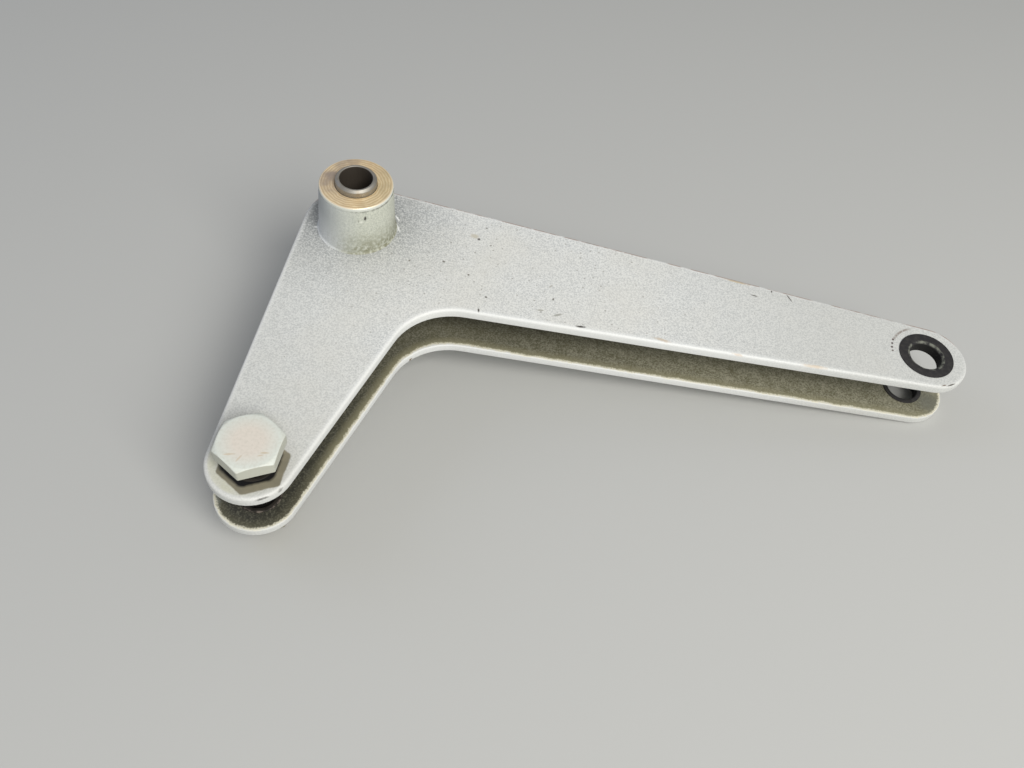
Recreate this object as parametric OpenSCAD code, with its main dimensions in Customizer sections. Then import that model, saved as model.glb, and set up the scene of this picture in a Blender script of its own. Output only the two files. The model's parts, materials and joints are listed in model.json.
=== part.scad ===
// Bellcrank made of two parallel L-shaped plates on a bushed pivot tube, with a clevis bolt in
// the short arm. Millimetres. The origin is on the pivot axis, midway between the plates. +X runs
// along the long arm, -Y along the short arm and +Z up the pivot axis.

/* [Plates] */
// Thickness of each plate
plate_t = 2.54; // [1.5:0.01:4]
// Clear gap between the two plates
plate_gap = 11.1; // [8:0.1:16]
// Distance from the pivot axis to the hole in the long arm
long_arm = 147.1; // [110:0.1:190]
// Distance from the pivot axis to the bolt in the short arm
short_arm = 72.1; // [60:0.1:100]
// Angle from the long arm to the line between the pivot axis and the bolt
bolt_angle = 90.4; // [80:0.1:110]
// Angle from the long arm to the centre of the short arm's tip radius
tip_angle = 90.8; // [80:0.1:110]
// Radius of the rounded tip of each arm
tip_r = 9.5; // [8.5:0.1:11]
// How far the long arm's hole sits inboard of the centre of its tip radius
end_hole_inset = 0.9; // [0:0.1:3]
// Distance from the pivot axis to the outer edge line of the long arm
long_back = 15.2; // [13:0.1:20]
// Distance from the pivot axis to the outer edge line of the short arm
short_back = 13.8; // [13:0.1:20]
// Radius of the outer corner
corner_r = 14.2; // [12.5:0.1:18]
// Distance from the pivot axis to the inner edge line of the long arm
long_root = 22.4; // [18:0.1:28]
// Distance from the pivot axis to the inner edge line of the short arm
short_root = 25.7; // [20:0.1:30]
// Radius of the fillet in the inner corner
inner_fillet_r = 16; // [6:0.5:24]

/* [Pivot tube] */
// Outside diameter of the pivot tube at its ends
tube_d = 18.1; // [16.5:0.1:19.2]
// Outside diameter of the pivot tube at the plates, where it is thickest
tube_root_d = 19.4; // [18:0.1:22]
// How far the tube stands out past each plate
tube_rise = 13.45; // [8:0.05:20]
// Leg of the weld bead where the tube meets a plate
weld_leg = 0.4; // [0.3:0.1:1.6]

/* [Pivot bearing] */
// Outside diameter of the bronze bushing's barrel
pivot_bush_d = 12.7; // [12:0.1:14]
// Length of the bronze bushing's barrel
pivot_bush_len = 15; // [8:0.5:17]
// Diameter of the bronze bushing's flange
pivot_flange_d = 18; // [16:0.1:20]
// Thickness of the bronze bushing's flange
pivot_flange_t = 0.9; // [0.6:0.05:3]
// Edge break on the bronze bushing
pivot_bush_break = 0.25; // [0.1:0.05:0.5]
// Outside diameter of the steel sleeve
sleeve_d = 10.1; // [9.5:0.1:11]
// Bore of the steel sleeve
sleeve_bore = 7.94; // [6:0.01:8.5]
// How far the sleeve stands out past each bushing flange
sleeve_proud = 1.8; // [0.8:0.05:4]
// Bevel on the outer end edges of the sleeve
sleeve_bevel = 0.55; // [0.1:0.05:0.6]
// Edge break at the ends of the sleeve's bore
sleeve_bore_break = 0.2; // [0.05:0.05:0.3]
// Running clearance of the sleeve in its bushings, on the radius
sleeve_fit = 0.05; // [0.02:0.01:0.1]

/* [Arm bushings] */
// Outside diameter of the barrel of each arm bushing
arm_bush_d = 10.1; // [9.6:0.1:11.5]
// Bore of each arm bushing
arm_bush_bore = 7.94; // [6:0.01:8.2]
// How far an arm bushing stands out of the plate's inner face
arm_bush_proud = 0.3; // [0.1:0.05:1]
// Flange diameter of the long arm's bushings
end_flange_d = 13.8; // [12:0.1:16]
// Flange thickness of the long arm's bushings
end_flange_t = 0.2; // [0.1:0.05:1]
// Bevel at the mouth of the long arm's bores
end_bore_bevel = 0.5; // [0.1:0.05:0.6]

/* [Clevis bolt] */
// Clearance of the bolt's shank in its bushings, on the radius
bolt_fit = 0.05; // [0.02:0.01:0.1]
// Width of the bolt's hex head across its flats, over its paint
head_af = 13; // [11:0.1:14]
// Height of the bolt's hex head, washer face included
head_h = 3.9; // [2.6:0.1:6]
// Height of the round washer face under the head
head_face_h = 0.4; // [0.2:0.05:0.8]
// Slope of the chamfer on the hex corners
hex_chamfer = 30; // [20:1:40]
// Angle of the hex head and the nut about the bolt's axis
hex_turn = 1; // [-30:1:30]
// End play of the bolt between its head and the nut's washer
bolt_play = 4; // [3.8:0.1:8]
// How far the head stands off the plate as drawn
head_lift = 3.7; // [0.2:0.05:3.9]
// Length of thread past the nut
thread_end = 2.4; // [0.8:0.1:4]
// Chamfer on the bolt's end
bolt_end_bevel = 0.8; // [0.3:0.1:1.2]

/* [Washer and nut] */
// Outside diameter of the washer
washer_d = 14.3; // [13:0.1:17]
// Thickness of the washer
washer_t = 0.8; // [0.6:0.1:2.5]
// Clearance of the washer on the bolt's shank, on the radius
washer_fit = 0.1; // [0.05:0.01:0.3]
// Width of the nut across its flats
nut_af = 12.7; // [11.5:0.1:14]
// Height of the nut's hex part
nut_h = 3.6; // [3:0.1:7]
// Diameter of the round collar on the nut
collar_d = 11.4; // [10.6:0.1:12]
// Height of the collar
collar_h = 1.8; // [1.2:0.1:3]
// Wall of the collar around the locking ring
collar_wall = 0.8; // [0.5:0.05:1]

/* [Hidden] */
$fn = 72;

paint = [0.80, 0.81, 0.79];
bronze = [0.79, 0.67, 0.47];
steel = [0.72, 0.72, 0.71];
black = [0.16, 0.16, 0.16];
dull_steel = [0.47, 0.44, 0.38];
bolt_paint = [0.87, 0.85, 0.80];
nylon = [0.85, 0.83, 0.74];

// Heights from the mid plane between the plates
inner_z = plate_gap / 2;
outer_z = inner_z + plate_t;
tube_z = outer_z + tube_rise;
flange_z = tube_z + pivot_flange_t;
sleeve_z = flange_z + sleeve_proud;
head_z = outer_z + head_lift;
washer_z = head_z - bolt_play - 2 * outer_z;
nut_z = washer_z - washer_t;
collar_z = nut_z - nut_h;
bolt_end_z = collar_z - collar_h - thread_end;

// Cuts run this far past the faces that they open
past = plate_t / 2;
// Arcs are drawn this much full, so that they cross the straight edges that they run into
full = plate_t / 1000;

bolt_d = arm_bush_bore - 2 * bolt_fit;
bolt_at = short_arm * heading(-bolt_angle);
end_at = [long_arm, 0];
long_tip = [long_arm + end_hole_inset, 0];
short_tip = short_arm * heading(-tip_angle);

// Outward normals of the four straight edges, each tangent to a circle about the pivot axis
long_outer = edge_normal(0, long_tip.x, long_back, 1);
long_inner = edge_normal(0, long_tip.x, long_root, -1);
short_outer = edge_normal(-tip_angle, short_arm, short_back, -1);
short_inner = edge_normal(-tip_angle, short_arm, short_root, 1);
corner_at = crossing(
    long_outer, long_back - corner_r,
    short_outer, short_back - corner_r
);
fillet_at = crossing(
    long_inner, long_root + inner_fillet_r,
    short_inner, short_root + inner_fillet_r
);

function heading(angle) = [cos(angle), sin(angle)];

// Normal of the line that touches a circle of root_r about the pivot and an arm's tip circle
function edge_normal(arm, reach, root_r, side) = heading(arm + side * acos((root_r - tip_r) / reach));

// Point that lies d1 along the normal n1 and d2 along the normal n2
function crossing(n1, d1, n2, d2) =
    [d1 * n2.y - d2 * n1.y, d2 * n1.x - d1 * n2.x] / (n1.x * n2.y - n1.y * n2.x);

// The straight-edged web of a plate, with its inner corner rounded out
module plate_web() {
    difference() {
        linear_extrude(plate_t) polygon([
            corner_at + corner_r * long_outer,
            long_tip + tip_r * long_outer,
            long_tip + tip_r * long_inner,
            fillet_at - inner_fillet_r * long_inner,
            fillet_at - inner_fillet_r * short_inner,
            short_tip + tip_r * short_inner,
            short_tip + tip_r * short_outer,
            corner_at + corner_r * short_outer
        ]);
        drill(fillet_at, 2 * (inner_fillet_r + full));
    }
}

// One rounded end of a plate
module plate_end(at, r) {
    translate(at) cylinder(r = r + full, h = plate_t);
}

// One plate, from its lower face up, with the holes for the tube and the arm bushings
module plate() {
    difference() {
        union() {
            plate_web();
            plate_end(corner_at, corner_r);
            plate_end(long_tip, tip_r);
            plate_end(short_tip, tip_r);
        }
        drill([0, 0], tube_root_d);
        drill(end_at, arm_bush_d);
        drill(bolt_at, arm_bush_d);
    }
}

module drill(at, d) {
    translate([at.x, at.y, -past]) cylinder(d = d, h = plate_t + 2 * past);
}

// Weld bead round the foot of the tube, standing up from the plane z = 0 against a wall that
// leans in by lean for each unit of height
module weld_bead(lean) {
    rotate_extrude() translate([tube_root_d / 2, 0]) polygon([
        [-weld_leg, 0],
        [weld_leg, 0],
        [-lean * weld_leg, weld_leg],
        [-weld_leg, weld_leg]
    ]);
}

// Flanged bushing with its flange's seat at z = 0, its barrel below and its flange above
module pivot_bushing() {
    bore_r = sleeve_d / 2 + sleeve_fit;
    flange_r = pivot_flange_d / 2;
    rotate_extrude() polygon([
        [bore_r, -pivot_bush_len],
        [pivot_bush_d / 2 - pivot_bush_break, -pivot_bush_len],
        [pivot_bush_d / 2, pivot_bush_break - pivot_bush_len],
        [pivot_bush_d / 2, 0],
        [flange_r, 0],
        [flange_r, pivot_flange_t - pivot_bush_break],
        [flange_r - pivot_bush_break, pivot_flange_t],
        [bore_r + pivot_bush_break, pivot_flange_t],
        [bore_r, pivot_flange_t - pivot_bush_break]
    ]);
}

// Flanged bushing of the long arm with the plate's outer face at z = 0
module end_bushing() {
    difference() {
        union() {
            cylinder(d = end_flange_d, h = end_flange_t);
            arm_barrel();
        }
        arm_bore(end_flange_t);
        translate([0, 0, end_flange_t - end_bore_bevel])
            cylinder(d1 = arm_bush_bore, d2 = arm_bush_bore + 4 * end_bore_bevel, h = 2 * end_bore_bevel);
    }
}

// Plain bushing of the short arm, flush with the plate's outer face at z = 0
module bolt_bushing() {
    difference() {
        arm_barrel();
        arm_bore(0);
    }
}

module arm_barrel() {
    translate([0, 0, -plate_t - arm_bush_proud]) cylinder(d = arm_bush_d, h = plate_t + arm_bush_proud);
}

module arm_bore(top) {
    depth = plate_t + arm_bush_proud + past;
    translate([0, 0, -depth]) cylinder(d = arm_bush_bore, h = depth + top + past);
}

// Hex prism from z = 0 up, with its corners turned down at the top
module chamfered_hex(af, h) {
    corner = af / (2 * cos(30));
    cone_h = corner * tan(hex_chamfer);
    turn_h = h + (af / 2) * tan(hex_chamfer) - cone_h;
    rotate(hex_turn + 30) intersection() {
        cylinder(r = corner, h = h, $fn = 6);
        union() {
            cylinder(r = corner + past, h = turn_h);
            translate([0, 0, turn_h]) cylinder(r1 = corner, r2 = 0, h = cone_h);
        }
    }
}

// Places a piece that is drawn for the upper half at the lower half
module at_lower() {
    mirror([0, 0, 1]) children();
}

module upper_plate() {
    color(paint) translate([0, 0, inner_z]) plate();
}

module lower_plate() {
    color(paint) translate([0, 0, -outer_z]) plate();
}

// One half of the tube, from the mid plane up: straight between the plates, then tapering
module half_tube() {
    cylinder(d = tube_root_d, h = outer_z);
    translate([0, 0, inner_z]) mirror([0, 0, 1]) weld_bead(0);
    translate([0, 0, outer_z]) {
        cylinder(d1 = tube_root_d, d2 = tube_d, h = tube_rise);
        weld_bead((tube_root_d - tube_d) / (2 * tube_rise));
    }
}

module pivot_tube() {
    color(paint) difference() {
        union() {
            half_tube();
            at_lower() half_tube();
        }
        translate([0, 0, -tube_z - past]) cylinder(d = pivot_bush_d, h = 2 * (tube_z + past));
    }
}

module upper_pivot_bushing() {
    color(bronze) translate([0, 0, tube_z]) pivot_bushing();
}

module lower_pivot_bushing() {
    color(bronze) at_lower() translate([0, 0, tube_z]) pivot_bushing();
}

module pivot_sleeve() {
    bore_r = sleeve_bore / 2;
    outer_r = sleeve_d / 2;
    color(steel) rotate_extrude() polygon([
        [bore_r, sleeve_bore_break - sleeve_z],
        [bore_r + sleeve_bore_break, -sleeve_z],
        [outer_r - sleeve_bevel, -sleeve_z],
        [outer_r, sleeve_bevel - sleeve_z],
        [outer_r, sleeve_z - sleeve_bevel],
        [outer_r - sleeve_bevel, sleeve_z],
        [bore_r + sleeve_bore_break, sleeve_z],
        [bore_r, sleeve_z - sleeve_bore_break]
    ]);
}

module upper_end_bushing() {
    color(black) translate([end_at.x, end_at.y, outer_z]) end_bushing();
}

module lower_end_bushing() {
    color(black) at_lower() translate([end_at.x, end_at.y, outer_z]) end_bushing();
}

module upper_bolt_bushing() {
    color(dull_steel) translate([bolt_at.x, bolt_at.y, outer_z]) bolt_bushing();
}

module lower_bolt_bushing() {
    color(dull_steel) at_lower() translate([bolt_at.x, bolt_at.y, outer_z]) bolt_bushing();
}

module clevis_bolt() {
    color(bolt_paint) translate([bolt_at.x, bolt_at.y, 0]) {
        translate([0, 0, head_z + head_face_h]) chamfered_hex(head_af, head_h - head_face_h);
        translate([0, 0, head_z]) cylinder(d = head_af, h = head_face_h);
        translate([0, 0, bolt_end_z + bolt_end_bevel])
            cylinder(d = bolt_d, h = head_z + head_face_h - bolt_end_z - bolt_end_bevel);
        translate([0, 0, bolt_end_z])
            cylinder(d1 = bolt_d - 2 * bolt_end_bevel, d2 = bolt_d, h = bolt_end_bevel);
    }
}

module bolt_washer() {
    color(steel) translate([bolt_at.x, bolt_at.y, nut_z]) difference() {
        cylinder(d = washer_d, h = washer_t);
        translate([0, 0, -past]) cylinder(d = bolt_d + 2 * washer_fit, h = washer_t + 2 * past);
    }
}

module lock_nut() {
    color(steel) translate([bolt_at.x, bolt_at.y, nut_z]) mirror([0, 0, 1]) difference() {
        union() {
            chamfered_hex(nut_af, nut_h);
            cylinder(d = collar_d, h = nut_h + collar_h);
        }
        translate([0, 0, -past]) cylinder(d = bolt_d, h = nut_h + collar_h + 2 * past);
        translate([0, 0, nut_h]) cylinder(d = collar_d - 2 * collar_wall, h = collar_h + past);
    }
}

// The locking ring that the collar holds round the thread
module nut_insert() {
    color(nylon) translate([bolt_at.x, bolt_at.y, collar_z]) mirror([0, 0, 1]) difference() {
        cylinder(d = collar_d - 2 * collar_wall, h = collar_h);
        translate([0, 0, -past]) cylinder(d = bolt_d, h = collar_h + 2 * past);
    }
}

upper_plate();
lower_plate();
pivot_tube();
upper_pivot_bushing();
lower_pivot_bushing();
pivot_sleeve();
upper_end_bushing();
lower_end_bushing();
upper_bolt_bushing();
lower_bolt_bushing();
clevis_bolt();
bolt_washer();
lock_nut();
nut_insert();
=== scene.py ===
# %% [markdown]
# A bellcrank turns the pull of one control rod into a push on another. This one is two painted
# steel plates on a bushed pivot tube, with a clevis bolt in its short arm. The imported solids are
# loaded first and stay fixed: every piece made here is placed by their measured boxes and edges,
# so nothing has to be lined up by eye.

# %% Load the solids
import json
import math

import bmesh
import bpy
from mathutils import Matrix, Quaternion, Vector


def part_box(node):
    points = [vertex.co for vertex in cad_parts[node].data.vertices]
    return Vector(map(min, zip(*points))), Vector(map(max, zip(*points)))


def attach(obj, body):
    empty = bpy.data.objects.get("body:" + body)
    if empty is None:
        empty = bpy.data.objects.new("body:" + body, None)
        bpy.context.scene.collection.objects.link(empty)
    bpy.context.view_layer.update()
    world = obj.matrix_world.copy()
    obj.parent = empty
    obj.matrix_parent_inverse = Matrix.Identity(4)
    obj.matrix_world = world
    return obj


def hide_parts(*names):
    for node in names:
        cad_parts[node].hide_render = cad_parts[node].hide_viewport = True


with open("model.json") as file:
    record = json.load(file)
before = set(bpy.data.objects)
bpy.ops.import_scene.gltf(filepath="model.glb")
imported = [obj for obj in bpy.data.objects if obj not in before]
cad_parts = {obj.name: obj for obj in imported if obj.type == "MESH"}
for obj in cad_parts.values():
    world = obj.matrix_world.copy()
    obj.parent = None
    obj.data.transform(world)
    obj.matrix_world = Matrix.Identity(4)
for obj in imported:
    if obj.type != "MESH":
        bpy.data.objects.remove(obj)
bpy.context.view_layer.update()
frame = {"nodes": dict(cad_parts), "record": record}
MM = 0.001
scene = bpy.context.scene
BODY_OF = {
    name: body
    for body, names in frame["record"]["behaviour"]["bodies"].items()
    for name in names
}

# %% [markdown]
# A few places come up again and again: the pivot axis is the Z axis, and the bolt and the long
# arm's hole are the middles of their bushings. Reading them from the boxes keeps this file true
# to the solids when a size changes.

# %% Measure the places that the pieces and finishes need


def middle(name):
    low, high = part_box(name)
    return (Vector(low) + Vector(high)) / 2


BOLT_AT = middle("upper_bolt_bushing")
END_AT = middle("upper_end_bushing")
PLATE_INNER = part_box("upper_plate")[0][2]
PLATE_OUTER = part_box("upper_plate")[1][2]
TUBE_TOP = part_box("pivot_tube")[1][2]
print("bolt at", BOLT_AT, "long arm's hole at", END_AT)

# %% [markdown]
# The camera stands where the photographer did: close, looking down, and tipped a little on its
# side. Close range gives the strong perspective, so the place and the lens belong together. The
# picture is 1024 by 768, and the sensor's 36 mm lies along its long side.

# %% Camera at the photograph's view
VIEW_FROM = Vector((53.02, -162.7, 177.21)) * MM
LOOK_AT = Vector((47.98, -37.7, 8.09)) * MM
CAMERA_ROLL = math.radians(11.17)
SENSOR_WIDE = 36
LENS = 32.29

camera_data = bpy.data.cameras.new("camera")
camera_data.sensor_width = SENSOR_WIDE
camera_data.lens = LENS
camera_data.clip_start = 5 * MM
camera = bpy.data.objects.new("camera", camera_data)
camera.location = VIEW_FROM
camera.rotation_mode = "QUATERNION"
level = (LOOK_AT - VIEW_FROM).to_track_quat("-Z", "Y")
camera.rotation_quaternion = level @ Quaternion((0, 0, 1), CAMERA_ROLL)
scene.collection.objects.link(camera)
scene.camera = camera
print("camera", round((LOOK_AT - VIEW_FROM).length, 4), "m from its target")

# %% [markdown]
# The part can't lie flat: it rests on the lower end of its sleeve, the end of the loose bolt and
# the tip of the long arm. The floor is the plane under those three feet, so it leans a few
# degrees in the part's own frame. It is found by picking each foot's lowest point, laying a plane
# through the three points, and repeating until the same points stay lowest.

# %% Find the floor plane under the three feet
FEET = ("pivot_sleeve", "clevis_bolt", "lower_plate")
FIRST_GUESS = Vector((-0.1, 0.1, 1.0))


def floor_plane():
    up = FIRST_GUESS
    for _ in range(8):
        a, b, c = (
            min((v.co for v in frame["nodes"][name].data.vertices), key=up.dot)
            for name in FEET
        )
        up = (b - a).cross(c - a).normalized()
        up = up if up.z > 0 else -up
    return a, up


floor_at, floor_up = floor_plane()
print("floor leans", round(math.degrees(floor_up.angle(Vector((0, 0, 1)))), 2), "degrees")

# %% [markdown]
# Colours are written as the sRGB hex values that a paint chart or a colour picker gives. The
# shaders work in linear light, so one function converts them. One more function adds a shader
# node with its settings and links, which keeps each material short enough to read.

# %% Colour and node helpers


def linear(hex_colour):
    parts = [int(hex_colour[i : i + 2], 16) / 255 for i in (1, 3, 5)]
    return tuple(
        p / 12.92 if p <= 0.04045 else ((p + 0.055) / 1.055) ** 2.4 for p in parts
    ) + (1.0,)


def add(tree, kind, inputs=None, **settings):
    made = tree.nodes.new("ShaderNode" + kind)
    for name, value in settings.items():
        setattr(made, name, value)
    for key, value in (inputs or {}).items():
        if isinstance(value, bpy.types.NodeSocket):
            tree.links.new(value, made.inputs[key])
        else:
            made.inputs[key].default_value = value
    return made


def new_material(name):
    made = bpy.data.materials.new(name)
    made.use_nodes = True
    return made, made.node_tree, made.node_tree.nodes["Principled BSDF"]


print("mid grey is", linear("#808080"))

# %% [markdown]
# A plain pale floor and soft light. One broad lamp stands over the right front, as a window
# would, a weaker cool one fills from the left, and the world lifts the shadows. The levels are
# set so that a flat, upward surface comes out about as bright as its colour is written.

# %% Floor, lamps and world
FLOOR_REACH = 3.0

side = Vector((0, 1, 0)).cross(floor_up).normalized()
ahead = floor_up.cross(side)
corners = ((-1, -1), (1, -1), (1, 1), (-1, 1))
floor_mesh = bpy.data.meshes.new("floor")
floor_mesh.from_pydata(
    [floor_at + FLOOR_REACH * (i * side + j * ahead) for i, j in corners], [], [(0, 1, 2, 3)]
)
floor = bpy.data.objects.new("floor", floor_mesh)
scene.collection.objects.link(floor)

matt_paint, tree, surface = new_material("matt_floor_paint")
surface.inputs["Base Color"].default_value = linear("#bfc0be")
surface.inputs["Roughness"].default_value = 0.9
surface.inputs["Specular IOR Level"].default_value = 0.0
floor_mesh.materials.append(matt_paint)


def lamp(name, place, size, watts, colour):
    data = bpy.data.lights.new(name, "AREA")
    data.size = size
    data.energy = watts
    data.color = linear(colour)[:3]
    made = bpy.data.objects.new(name, data)
    made.location = place
    made.rotation_mode = "QUATERNION"
    made.rotation_quaternion = (LOOK_AT - Vector(place)).to_track_quat("-Z", "Y")
    scene.collection.objects.link(made)


lamp("window", place=(0.45, -0.5, 0.75), size=0.5, watts=9.4, colour="#fffcf6")
lamp("left_fill", place=(-0.7, 0.1, 0.5), size=0.5, watts=0.7, colour="#cfdcff")

world = bpy.data.worlds.new("world")
world.use_nodes = True
sky = world.node_tree.nodes["Background"]
sky.inputs["Color"].default_value = linear("#f4f5f6")
sky.inputs["Strength"].default_value = 0.36
scene.world = world
scene.view_settings.view_transform = "Standard"
print("floor, lamps and world made")

# %% [markdown]
# The plates are cut from sheet, deburred and sprayed, so their edges are round and the paint
# thins out over the dirty inner faces. A bevel modifier would round the edges, but the paint also
# has to know how far each point lies from the cut edge. So the plate is rebuilt from its outline:
# rings of points step round the edge and inwards, and each point stores its distance.

# %% Outline loops of a plate, read from its solid
LONGEST_STEP = 3 * MM
SAME_POINT = 1e-7


def face_loops(name):
    solid = bmesh.new()
    solid.from_mesh(frame["nodes"][name].data)
    bmesh.ops.remove_doubles(solid, verts=solid.verts, dist=SAME_POINT)
    beside = {}
    for edge in solid.edges:
        ups = [face.normal.z > 0.99 for face in edge.link_faces]
        if ups.count(True) == 1:
            a, b = edge.verts
            beside.setdefault(a, []).append(b)
            beside.setdefault(b, []).append(a)
    loops = []
    while beside:
        here = next(iter(beside))
        loop = []
        while here in beside:
            loop.append(here.co.xy)
            here = next((v for v in beside.pop(here) if v in beside), None)
        loops.append(stepped(loop))
    solid.free()
    return sorted(loops, key=lambda loop: -abs(signed_area(loop)))


def stepped(loop):
    points = []
    for a, b in zip(loop, loop[1:] + loop[:1]):
        count = max(1, math.ceil((b - a).length / LONGEST_STEP))
        points += [a.lerp(b, i / count) for i in range(count)]
    return points if signed_area(points) > 0 else points[::-1]


def signed_area(loop):
    return sum(a.cross(b) for a, b in zip(loop, loop[1:] + loop[:1])) / 2


plate_loops = face_loops("upper_plate")
print("plate outline:", len(plate_loops[0]), "points, holes:", len(plate_loops) - 1)

# %% [markdown]
# The rings: from the middle of one face out to its edge, round the edge, along the cut wall, round
# the other edge and back in. Each ring is the outline moved inwards along its normals. The outer
# edge is filed rounder than the inner one. The last ring and the holes are filled with triangles.

# %% Sheet plates with rounded edges
OUTER_EDGE_R = 0.7
INNER_EDGE_R = 0.3
EDGE_STEPS = 5
INSETS = (0.9, 1.2, 1.6, 2.2, 3.0)
PLATE_SHARP = math.radians(40)


def moved_in(loop, distance):
    moved = []
    for i, point in enumerate(loop):
        along = (loop[(i + 1) % len(loop)] - loop[i - 1]).normalized()
        moved.append(point + Vector((-along.y, along.x)) * distance)
    return moved


def rounded(r):
    turn = [math.radians(90 * k / EDGE_STEPS) for k in range(EDGE_STEPS + 1)]
    return [(r * MM * (1 - math.sin(t)), r * MM * (1 - math.cos(t))) for t in turn]


def plate_section(low, high):
    radii = (INNER_EDGE_R, OUTER_EDGE_R) if low > 0 else (OUTER_EDGE_R, INNER_EDGE_R)
    lower = [(inset, low + rise) for inset, rise in rounded(radii[0])]
    upper = [(inset, high - rise) for inset, rise in reversed(rounded(radii[1]))]
    inward = [inset * MM for inset in INSETS]
    return [(i, low) for i in reversed(inward)] + lower + upper + [(i, high) for i in inward]


def piece_from(name, made_mesh, solids):
    piece = bpy.data.objects.new(name, made_mesh)
    scene.collection.objects.link(piece)
    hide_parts(*solids)
    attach(piece, BODY_OF[solids[0]])
    return piece


def sheet_plate(name):
    outline, *holes = face_loops(name)
    low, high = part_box(name)[0][2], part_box(name)[1][2]
    build = bmesh.new()
    depth = build.verts.layers.float.new("edge_mm")

    def ring(loop, z, inset):
        made = [build.verts.new((p.x, p.y, z)) for p in loop]
        for v in made:
            v[depth] = inset / MM
        return made

    def bridge(a, b):
        for i in range(len(a)):
            build.faces.new((a[i - 1], a[i], b[i], b[i - 1]))

    rings = [ring(moved_in(outline, inset), z, inset) for inset, z in plate_section(low, high)]
    for a, b in zip(rings, rings[1:]):
        bridge(a, b)
    deepest = INSETS[-1] * MM
    walls = [(ring(hole, low, deepest), ring(hole, high, deepest)) for hole in holes]
    for a, b in walls:
        bridge(a, b)
    for rim, face_holes in ((rings[0], [w[0] for w in walls]), (rings[-1], [w[1] for w in walls])):
        border = [
            build.edges.get((loop[i - 1], loop[i]))
            for loop in [rim] + face_holes
            for i in range(len(loop))
        ]
        bmesh.ops.triangle_fill(build, use_beauty=True, edges=border)
    bmesh.ops.recalc_face_normals(build, faces=build.faces)
    mesh = bpy.data.meshes.new(name + "_sheet")
    build.to_mesh(mesh)
    build.free()
    mesh.shade_smooth()
    mesh.set_sharp_from_angle(angle=PLATE_SHARP)
    return piece_from(name + "_sheet", mesh, [name])


pieces = {name: sheet_plate(name) for name in ("upper_plate", "lower_plate")}
print("plate faces:", [len(p.data.polygons) for p in pieces.values()])

# %% [markdown]
# Tube, bushings, sleeve, washer and the nut's plastic ring are plain turned shapes, and their
# solids are already right. A turned edge is still never knife sharp, so each is shown by a copy
# with a fine bevel, because that thin rounding is what catches the light. The copy takes the
# solid's place on its body.

# %% Turned pieces with broken edges
TURNED = {
    "pivot_tube": (0.12, "plate_paint"),
    "upper_pivot_bushing": (0.08, "bronze"),
    "lower_pivot_bushing": (0.08, "bronze"),
    "pivot_sleeve": (0.06, "sleeve_steel"),
    "upper_end_bushing": (0.06, "black_bushing"),
    "lower_end_bushing": (0.06, "black_bushing"),
    "upper_bolt_bushing": (0.12, "bushing_steel"),
    "lower_bolt_bushing": (0.12, "bushing_steel"),
    "bolt_washer": (0.15, "hardware_steel"),
    "nut_insert": (0.1, "nylon"),
}
STILL_FLAT = math.radians(0.2)
BROKEN_FROM = math.radians(25)


def turned(name, edge_mm, slot):
    mesh = frame["nodes"][name].data.copy()
    mesh.materials.clear()
    clean = bmesh.new()
    clean.from_mesh(mesh)
    bmesh.ops.remove_doubles(clean, verts=clean.verts, dist=SAME_POINT)
    bmesh.ops.dissolve_limit(
        clean, angle_limit=STILL_FLAT, verts=clean.verts, edges=clean.edges
    )
    clean.to_mesh(mesh)
    clean.free()
    mesh.shade_smooth()
    piece = piece_from(name + "_turned", mesh, [name])
    edge = piece.modifiers.new("edge_break", "BEVEL")
    edge.width = edge_mm * MM
    edge.segments = 3
    edge.limit_method = "ANGLE"
    edge.angle_limit = BROKEN_FROM
    edge.use_clamp_overlap = False
    edge.harden_normals = True
    return piece


pieces.update({name: turned(name, *how) for name, how in TURNED.items()})
print("turned pieces:", len(TURNED))

# %% [markdown]
# The bolt and nut have what a lathe alone can't make: hex corners turned down to a cone, and a
# thread. Both are drawn as stacked rings whose radius changes with the angle. Where the hex meets
# the cone the smaller radius wins, blended over a fraction of a millimetre, which gives the
# scalloped, slightly worn corners of a real head.

# %% Rings with an angle-dependent radius
STEPS = 180
HEX_CORNER = 31
WORN = 0.25
HEX_SHARP = math.radians(35)


def hex_radius(flats, degrees):
    return flats / 2 / math.cos(math.radians((degrees - HEX_CORNER) % 60 - 30))


def softer_least(a, b):
    return min(a, b) - max(WORN - abs(a - b), 0) ** 2 / (4 * WORN)


def ringed(name, rows, solids, closed):
    build = bmesh.new()
    rings = []
    for height, radius in rows:
        ring = []
        for i in range(STEPS):
            degrees = 360 * i / STEPS
            r = radius(degrees) if callable(radius) else radius
            turn = math.radians(degrees)
            place = (BOLT_AT.x + r * MM * math.cos(turn), BOLT_AT.y + r * MM * math.sin(turn))
            ring.append(build.verts.new((*place, height * MM)))
        rings.append(ring)
    pairs = list(zip(rings, rings[1:])) + ([(rings[-1], rings[0])] if closed else [])
    for a, b in pairs:
        for i in range(STEPS):
            build.faces.new((a[i - 1], a[i], b[i], b[i - 1]))
    if not closed:
        build.faces.new(rings[0])
        build.faces.new(rings[-1])
    bmesh.ops.recalc_face_normals(build, faces=build.faces)
    mesh = bpy.data.meshes.new(name)
    build.to_mesh(mesh)
    build.free()
    mesh.shade_smooth()
    mesh.set_sharp_from_angle(angle=HEX_SHARP)
    return piece_from(name, mesh, solids)


print("points on a ring:", STEPS)

# %% [markdown]
# The bolt is loose, and its head stands 3.7 mm off its seat. From the head down it has a flat top,
# a 30 degree cone on the corners, six flats, a round washer face, a small fillet, the shank and
# the thread, which shows where it comes out of the nut. The thread is a 24 to the inch fine
# thread, so its ridges are 1.06 mm apart.

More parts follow.
